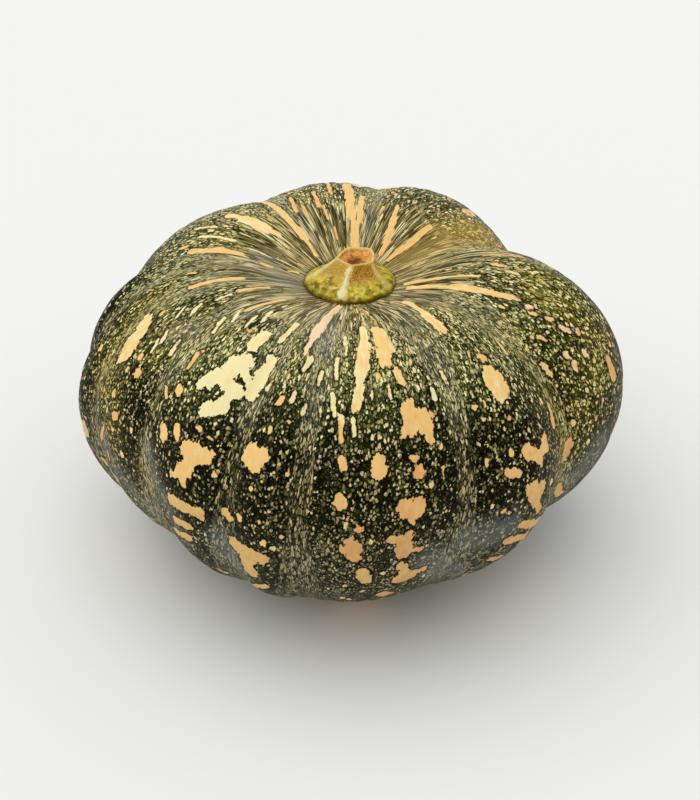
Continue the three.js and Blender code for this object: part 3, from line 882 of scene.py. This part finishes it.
# Net: the cells round seeded points, each drawn in from its edges by its own gap and with its own
# tone, so that thin dark lines stand between them.
def netCells(place, around, lengthways, narrow, wide):
    first, tone = twoChances(cells(place, around, lengthways)["Color"])
    toEdge = cells(place, around, lengthways, "DISTANCE_TO_EDGE")["Distance"]
    ragged = raggedness(place, around, lengthways)
    reach = calc("SUBTRACT", toEdge, ramp(first, 0.0, 1.0, narrow, wide))
    reach = swayed(reach, ragged, edgeLook["netRagged"])
    return ramp(reach, 0.0, edgeLook["netSoft"]), tone


# Larger dots: discs round some of the cells' points, each with a dark ring, over the colour so far.
def dotLayer(place, base, around, lengthways, share, where):
    spots = cells(place, around, lengthways)
    chance, size = twoChances(spots["Color"])
    present = times(ramp(chance, share, share + edgeLook["chanceStep"], 1.0, 0.0), where)
    radius = ramp(size, 0.0, 1.0, *edgeLook["dotRadius"])
    reach = calc("SUBTRACT", radius, spots["Distance"])
    reach = swayed(reach, noise(place, *edgeLook["dotNoise"]), edgeLook["dotRagged"])
    dot = times(ramp(reach, *edgeLook["dotEdge"]), present)
    ring = times(ramp(reach, *edgeLook["dotRing"]), present)
    base = mixColour(times(ring, edgeLook["ringShare"]), base, skinLook["ring"])
    dotColour = mixColour(size, skinLook["dotCream"], skinLook["yellowOrange"])
    return mixColour(dot, base, dotColour)


def skinMaterial():
    material, tree, shader = newMaterial("pumpkinSkin")
    place, _ = threeValues(tree, "skinPlace")
    _, (inside, warmth, furrowGap) = threeValues(tree, "skinMarks")
    _, (lowness, radius, markReach) = threeValues(tree, "skinZone")
    _, (gold, bloomAndSheen, paintedFlankLight) = threeValues(tree, "skinTint")
    pattern = {name: noise(place, *sizes) for name, sizes in skinPatterns.items()}

    def step(name, value):
        return ramp(value, *skinSteps[name])

    # Zones: long streaks round the stem, then dashes, short dashes and round flecks further down,
    # and fine lines in the furrows
    shifted = swayed(lowness, pattern["uneven"], skinLook["zoneSway"])
    nearStem, onShoulder, onBelt = [
        ramp(shifted, *skinZones[zone]["ends"], 1.0, 0.0) for zone in ("streak", "dash", "short")
    ]
    bandReach = calc("ADD", step("bandReach", lowness), step("bandSpread", lowness))
    bandGap = swayed(furrowGap, pattern["uneven"], skinLook["bandSway"])
    furrowBand = step("bandEdge", calc("SUBTRACT", bandGap, bandReach))
    inFurrow = step("bandLines", furrowBand)

    def byZone(values):
        rib = mixValue(onBelt, values["round"], values["short"])
        rib = mixValue(onShoulder, rib, values["dash"])
        return mixValue(nearStem, mixValue(inFurrow, rib, values["furrow"]), values["streak"])

    def bothByZone(pairs):
        return [byZone({zone: pair[part] for zone, pair in pairs.items()}) for part in (0, 1)]

    # Colours here: the run's own, with painted shade in the dark belt, or the flank's, painted lighter
    # as if lit from the side
    paintedFlankLightShare = times(times(paintedFlankLight, step("paintedFlankLightBelow", lowness)), step("paintedFlankLightAbove", lowness))

    def colourHere(name):
        return mixColour(paintedFlankLightShare, colourRun(lowness, name), skinLook["paintedFlankLightColours"][name])

    # Ground: a fine mottle from near-black olive to olive
    mottle = byZone({zone: noise(place, *sizes["mottle"]) for zone, sizes in skinZones.items()})
    mottle = calc("ADD", mottle, times(pattern["speckle"], skinLook["speckleShare"]))
    mottle = calc("ADD", mottle, times(pattern["slow"], skinLook["slowShare"]))
    groundShare = step("groundLight", mottle)
    ground = mixColour(groundShare, colourHere("groundDark"), colourHere("groundLight"))

    # A net of dim cells over it, then brighter flecks, each with its own size and tone, and the grey
    # of the furrows. The round flecks have the short dashes' net.
    nets = {zone: netCells(place, *sizes["net"]) for zone, sizes in skinZones.items() if "net" in sizes}
    nets["round"] = nets["short"]
    net, netTone = bothByZone(nets)
    netPlaces = mixValue(inFurrow, step("netPlaces", pattern["slow"]), 1.0)
    netShare = times(times(net, step("netShare", netTone)), netPlaces)
    fleck, tone = bothByZone({zone: flecks(place, *sizes["fleck"]) for zone, sizes in skinZones.items()})
    dim = colourHere("fleckDim")
    bright = colourHere("fleckBright")
    base = mixColour(netShare, ground, mixColour(step("netBright", netTone), dim, bright))
    fleckShare = times(fleck, step("fleckInBand", furrowBand))
    base = mixColour(fleckShare, base, mixColour(step("fleckBright", tone), dim, bright))
    base = mixColour(times(furrowBand, step("bandGrey", lowness)), base, skinLook["bloomAndSheen"])

    # Larger dots and dashes in loose rows, each in a dark ring
    clear = times(step("clearOfPatch", inside), step("clearOfBand", furrowBand))
    lower = times(calc("SUBTRACT", 1.0, onShoulder), clear)
    higher = times(onShoulder, clear)
    for layers, where in ((lowDots, lower), (highDots, higher)):
        for sizes in layers:
            base = dotLayer(place, base, *sizes, where)

    # Sunned places, and a grey wax bloom that is partly painted sheen
    base = mixColour(times(gold, skinLook["goldShare"]), base, skinLook["gold"])
    base = mixColour(times(bloomAndSheen, skinLook["bloomAndSheenShare"]), base, skinLook["bloomAndSheen"])

    # Patches with ragged edges, in a thin dark halo
    teeth = mixValue(nearStem, pattern["teeth"], pattern["longTeeth"])
    toothSize = mixValue(nearStem, step("toothSize", markReach), step("longToothSize", markReach))
    lobeSize = mixValue(nearStem, step("lobeSize", markReach), skinLook["stemLobe"])
    depth = swayed(swayed(inside, teeth, toothSize), pattern["lobes"], lobeSize)
    patch = step("patchEdge", depth)
    halo = times(step("haloEdge", depth), step("haloFrom", shifted))
    warm = swayed(warmth, pattern["cloudy"], skinLook["warmthSway"])
    patchColour = skinLook["paleYellow"]
    for name in ("yellowOrange", "peach", "palePink"):
        patchColour = mixColour(step(name, warm), patchColour, skinLook[name])
    base = mixColour(halo, base, skinLook["ring"])
    base = mixColour(times(patch, step("patchFade", lowness)), base, patchColour)

    # Painted shadow in the crease where the stem's foot sits, and the blossom's scar
    base = mixColour(step("paintedFootShadow", radius), base, skinLook["paintedFootShadow"])
    scarRadius = calc("ADD", radius, times(pattern["uneven"], skinLook["scarSway"]))
    scar = times(step("scar", scarRadius), step("scarFrom", lowness))
    base = mixColour(scar, base, skinLook["scarBrown"])

    # Satin gloss, broken by fine pores and by the patches standing slightly proud
    height = calc("ADD", pattern["grain"], times(patch, skinLook["patchProud"]))
    finishShader(shader, base, skinLook, pattern["grain"], height)
    return material


pumpkinSkin.data.materials.append(skinMaterial())
print("skin material done")

# The stem's stub: a flared foot that follows the fruit, five ribs that run straight up to the
# corners of the cut, and a sunken cut face with a thin rim.
stem = {
    "cutOffsetX": 3 * mm,
    "cutOffsetY": 0.6 * mm,
    "cutTilt": 0.02,
    "columns": 420,
    "rowsPerPart": 14,
    "seatGap": 0.1 * mm,
    "skinRows": 24,              # rows of the skin's grid that lie under the foot or near it
    "lumpDepth": 0.5 * mm,
    "lumpWaves": (26, (3, 13), (8 * mm, 30 * mm)),
    "lumpRadius": 8 * mm,        # radius under which the lumps get shallower
}
# Ribs of the stem: angle in degrees, reach of the foot and distance of the waist in mm, how pale the
# rib is (on the front rib partly a painted highlight) and how corky the face after it is.
stemRibs = np.array([
    (-12, 20.2, 8.7, 0.9, 1.0), (60, 22.4, 9.7, 0.15, 0.7), (132, 20.4, 10.6, 0.2, 0.6),
    (204, 17, 9.6, 0.15, 0.6), (276, 21.4, 9.5, 0.45, 0.5),
])
# Up the outside, over the rim and in to the middle of the cut: shares of the reach and of the waist,
# rise in mm, and how far the valleys between the ribs are pressed in, as a share of the radius.
stemOutline = np.array([
    (1.0, 0, 0.0, 0.02), (1.0, 0, 1.2, 0.02), (0.97, 0, 2.6, 0.03), (0.87, 0.03, 4.2, 0.08),
    (0.66, 0.24, 6.0, 0.2), (0.42, 0.52, 8.0, 0.27), (0.17, 0.82, 10.6, 0.22), (0, 1.0, 12.8, 0.13),
    (0, 0.95, 13.4, 0.12), (0, 0.83, 12.9, 0.12), (0, 0.72, 11.5, 0.1), (0, 0.4, 10.9, 0.06),
    (0, 0.0, 10.7, 0.0),
])


# Height of the fruit's skin at an angle and a radius near the stem: each row of the skin's grid is
# read at that angle, and the rows between which the radius falls are joined by a straight line.
def skinLevel(angle, radius):
    rows = skin[:stem["skinRows"]] - move
    rowAngle = np.arctan2(rows[..., 0], -rows[..., 1]) % (2 * math.pi)
    rowRadius = np.hypot(rows[..., 0], rows[..., 1])
    radii, levels = [np.zeros_like(angle)], [np.full_like(angle, crownPoint[2])]
    for k in range(len(rows)):
        order = rowAngle[k].argsort()
        turns = rowAngle[k][order]
        radii.append(np.interp(angle, turns, rowRadius[k][order], period=2 * math.pi))
        levels.append(np.interp(angle, turns, rows[k, order, 2], period=2 * math.pi) + move[2])
    radii, levels = np.array(radii), np.array(levels)
    k = np.clip((radii < radius).sum(0), 1, len(radii) - 1)
    pick = np.arange(len(angle))
    low, high = radii[k - 1, pick], radii[k, pick]
    share = (radius - low) / (high - low)
    return levels[k - 1, pick] + (levels[k, pick] - levels[k - 1, pick]) * share


# A smooth curve through listed values: between each two of them a cubic, whose slope at a value is
# half the step between its neighbours.
def smoothThrough(values, perPart):
    padded = np.concatenate([[values[0]], values, [values[-1]]])
    slope = (padded[2:] - padded[:-2]) / 2
    parts = []
    for k in range(len(values) - 1):
        t = (np.arange(perPart) / perPart)[:, None]
        rise = values[k + 1] - values[k]
        parts.append(
            values[k] + slope[k] * t * (1 - t) ** 2 + rise * t * t * (3 - 2 * t)
            - slope[k + 1] * (1 - t) * t * t
        )
    return np.concatenate(parts + [values[-1:]])


# The stem's grid: a radius between the foot's reach and the waist, pressed in between the ribs and
# by a field of soft lumps, set on the fruit's own level at the foot and level at the cut.
def stemSurface():
    angle = np.linspace(0, 2 * math.pi, stem["columns"], endpoint=False)
    spacing = 360 / len(stemRibs)
    part = ((angle / degree - stemRibs[0, 0]) % 360) / spacing
    k = part.astype(int)
    share = part - k
    nextK = (k + 1) % len(stemRibs)
    blend = 0.5 - 0.5 * np.cos(math.pi * share)
    reach, waist = (stemRibs[k, 1:3] + (stemRibs[nextK, 1:3] - stemRibs[k, 1:3]) * blend[:, None]).T * mm
    valley = np.sin(math.pi * share)
    footLevel = skinLevel(angle, reach)
    foot, waistShare, rise, valleyDepth = smoothThrough(stemOutline, stem["rowsPerPart"]).T[:, :-1, None]
    up = rise / stemOutline[:, 2].max()
    radius = (foot * reach + waistShare * waist) * (1 - valleyDepth * valley)
    lumps = waveField(angle[None, :], rise * mm, *stem["lumpWaves"], draw)
    lumpFade = np.minimum(radius / stem["lumpRadius"], 1)
    radius = radius - (0.5 + 0.5 * lumps) * stem["lumpDepth"] * lumpFade
    x = radius * np.sin(angle) + stem["cutOffsetX"] * up ** 2
    y = -radius * np.cos(angle) + stem["cutOffsetY"] * up ** 2
    level = footLevel + (footLevel.mean() - footLevel) * up
    z = level + rise * mm + stem["cutTilt"] * y * up ** 2
    grid = np.stack([x + move[0], y + move[1], z], axis=-1)[::-1]
    ribGap = np.minimum(share, 1 - share) * spacing * degree * radius / mm
    pale = np.where(share < 0.5, stemRibs[k, 3], stemRibs[nextK, 3])
    inCut = np.where(np.arange(len(rise))[:, None] > rise.argmax(), 1 - waistShare, 0)
    values = (rise, ribGap, inCut, pale, stemRibs[k, 4])
    return grid, [np.broadcast_to(value, x.shape)[::-1] for value in values]


stemGrid, (stemRise, stemRibGap, stemInCut, stemPale, stemCorky) = stemSurface()
stemTop = stemGrid[0].mean(0)
stemBottom = np.array([move[0], move[1], crownPoint[2] + stem["seatGap"]])
pumpkinStem = closedMesh("pumpkinStem", stemGrid, stemTop, stemBottom)
carryValues(pumpkinStem, "stemZone", stemRise, stemRibGap, stemInCut)
carryValues(pumpkinStem, "stemFace", stemPale, stemCorky)
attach(pumpkinStem, "root")
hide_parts("stem")

stemLook = {
    # painted shade where the foot meets the fruit
    "paintedContactShade": paint(104, 80, 4),
    "oliveDark": paint(110, 98, 0),
    "olive": paint(180, 162, 4),
    "oliveBright": paint(232, 212, 52),
    # painted highlight on the foot's bumps
    "highlight": paint(250, 234, 134),
    "tan": paint(228, 190, 98),
    "corkDark": paint(150, 102, 8),
    "corkLight": paint(228, 178, 62),
    # pale rib colour, on the front rib partly a painted highlight
    "paleRibAndHighlight": paint(255, 246, 186),
    "rim": paint(236, 206, 128),
    "cutYellow": paint(240, 196, 104),
    "cutOrange": paint(218, 138, 34),
    "cutBrown": paint(124, 70, 28),
    "paintedContactShadeSway": 2.4,          # mm by which the limits of the colours waver
    "tanSway": 6.0,
    "ridgeSway": (3.0, 5.0),
    "ridgeNarrows": 0.08,        # mm that a pale rib loses for each mm up
    "shredSway": 0.8,
    "middleSway": 1.6,
    "tornSway": 0.5,
    "grain": (0.3, 0.7),
    "roughness": (0.24, 0.5),
    "specular": 0.2,
    "bumpStrength": 0.7,
    "bumpDistance": 0.35 * mm,
}

# Patterns of the stem: size across and up, detail, roughness.
stemPatterns = {
    "lump": (4 * mm, 4 * mm, 3.0),
    "warmer": (5 * mm, 3 * mm, 2.0),
    "wax": (2.6 * mm, 2.2 * mm, 3.0, 0.55),
    "fine": (0.55 * mm, 0.55 * mm, 3.0, 0.7),
}

# Smooth steps, as the skin's: heights and distances in mm.
stemSteps = {
    "olive": (0.36, 0.52),
    "oliveBright": (0.52, 0.68),
    "highlight": (0.48, 0.7, 0.0, 0.8),
    "corkLight": (0.5, 0.7, 0.0, 0.5),
    # painted shade where the foot meets the fruit, by height in mm
    "paintedContactShade": (0.6, 3.8, 0.8, 0.0),
    "tan": (4.4, 9.5, 0.0, 0.9),
    "corkTone": (0.4, 0.6),
    "corkFrom": (5.4, 7.4),
    "corkBeside": (0.9, 1.8),
    "ridgeEdge": (1.2, 2.6, 1.0, 0.0),
    "ridgeFrom": (1.2, 3.0),
    "rim": (12.6, 13.1, 0.0, 0.9),
    "cutYellow": (0.44, 0.56),
    "cutBrown": (0.42, 0.72),
    "cut": (0.06, 0.14),
}


def stemMaterial():
    material, tree, shader = newMaterial("pumpkinStem")
    coordinates = tree.nodes.new("ShaderNodeTexCoord").outputs["Object"]
    _, (rise, ribGap, inCut) = threeValues(tree, "stemZone")
    _, (pale, corky, _) = threeValues(tree, "stemFace")
    lump, warmer, wax, fine = [noise(coordinates, *sizes) for sizes in stemPatterns.values()]

    def step(name, value):
        return ramp(value, *stemSteps[name])

    # Olive foot with painted highlights and painted shade where it meets the fruit, tan towards the top
    base = mixColour(step("olive", lump), stemLook["oliveDark"], stemLook["olive"])
    for name, value in (
        ("oliveBright", lump), ("highlight", wax), ("corkLight", warmer),
        ("paintedContactShade", swayed(rise, lump, stemLook["paintedContactShadeSway"])),
    ):
        base = mixColour(step(name, value), base, stemLook[name])
    wavyRise = swayed(rise, lump, stemLook["tanSway"])
    base = mixColour(step("tan", wavyRise), base, stemLook["tan"])

    # Stippled cork between the ribs
    cork = mixColour(step("corkTone", fine), stemLook["corkDark"], stemLook["corkLight"])
    corkShare = times(step("corkFrom", wavyRise), step("corkBeside", ribGap))
    base = mixColour(times(corkShare, corky), base, cork)

    # Pale ribs, the front one the palest: their own pale colour, and on the front rib partly a painted
    # highlight
    edge = swayed(ribGap, fine, stemLook["ridgeSway"][0])
    edge = swayed(edge, wax, stemLook["ridgeSway"][1])
    edge = calc("ADD", edge, times(rise, stemLook["ridgeNarrows"]))
    paleRibAndHighlight = times(step("ridgeEdge", edge), step("ridgeFrom", rise))
    base = mixColour(times(paleRibAndHighlight, pale), base, stemLook["paleRibAndHighlight"])

    # The cut: a ragged pale rim round torn pith, yellow and orange with a brown middle
    base = mixColour(step("rim", rise), base, stemLook["rim"])
    shreds = swayed(wax, fine, stemLook["shredSway"])
    pith = mixColour(step("cutYellow", shreds), stemLook["cutOrange"], stemLook["cutYellow"])
    middle = swayed(inCut, shreds, stemLook["middleSway"])
    pith = mixColour(step("cutBrown", middle), pith, stemLook["cutBrown"])
    torn = swayed(inCut, shreds, stemLook["tornSway"])
    base = mixColour(step("cut", torn), base, pith)

    height = calc("ADD", calc("ADD", lump, wax), fine)
    finishShader(shader, base, stemLook, fine, height)
    return material


pumpkinStem.data.materials.append(stemMaterial())
print("stem done")

# A plain pale floor, soft light from above and the photograph's camera
studio = {
    "floorSize": 6.0,
    "floorColour": paint(243, 244, 241),
    "horizonStrength": 0.56,     # radiance of the surroundings at the level of the floor
    "zenithStrength": 0.34,      # what is added straight above
    "frontLoss": 0.45,           # share of it that is missing on the camera's own side
    "sunStrength": 1.0,
    "sunAngle": 80,
    "sunFrom": (-0.35, -0.1, 1.0),
}


def makeFloor():
    half = studio["floorSize"] / 2
    mesh = bpy.data.meshes.new("floor")
    corners = [(-half, -half, 0), (half, -half, 0), (half, half, 0), (-half, half, 0)]
    mesh.from_pydata(corners, [], [(0, 1, 2, 3)])
    material, _, shader = newMaterial("floor")
    plug(shader, {"Base Color": studio["floorColour"], "Roughness": 1.0, "Specular IOR Level": 0.0})
    mesh.materials.append(material)
    floor = addObject("floor", mesh)


# Light: surroundings that brighten evenly upwards and fall off towards the camera's side, and one
# wide sun.
def makeLight():
    world = bpy.data.worlds.new("studio")
    world.use_nodes = True
    tree = world.node_tree
    direction = tree.nodes.new("ShaderNodeTexCoord").outputs["Generated"]
    _, forward, upward = addNode("SeparateXYZ", {0: direction}).outputs
    sky = times(calc("MAXIMUM", upward, 0.0), studio["zenithStrength"])
    sky = calc("ADD", sky, studio["horizonStrength"])
    front = ramp(forward, -1.0, 0.0, 1.0 - studio["frontLoss"], 1.0)
    plug(tree.nodes["Background"], {"Color": (1.0, 1.0, 1.0, 1.0), "Strength": times(sky, front)})
    bpy.context.scene.world = world
    sun = bpy.data.lights.new("softKey", "SUN")
    sun.energy = studio["sunStrength"]
    sun.angle = studio["sunAngle"] * degree
    x, y, z = studio["sunFrom"]
    addObject("softKey", sun).rotation_euler = (math.atan2(math.hypot(x, y), z), 0, math.atan2(x, -y))


def makeCamera():
    lens = bpy.data.cameras.new("photoCamera")
    lens.lens = photo["lens"]
    lens.sensor_width = photo["sensor"]
    lens.sensor_fit = "AUTO"
    lens.shift_x = (photo["width"] / 2 - photo["middleX"]) / photo["height"]
    lens.shift_y = (photo["middleY"] - photo["height"] / 2) / photo["height"]
    camera = addObject("photoCamera", lens)
    camera.location = eye.tolist()
    camera.rotation_euler = (math.pi / 2 - tilt, 0, 0)
    bpy.context.scene.camera = camera


makeFloor()
makeLight()
makeCamera()
bpy.context.scene.view_settings.view_transform = "Standard"
print("studio done")
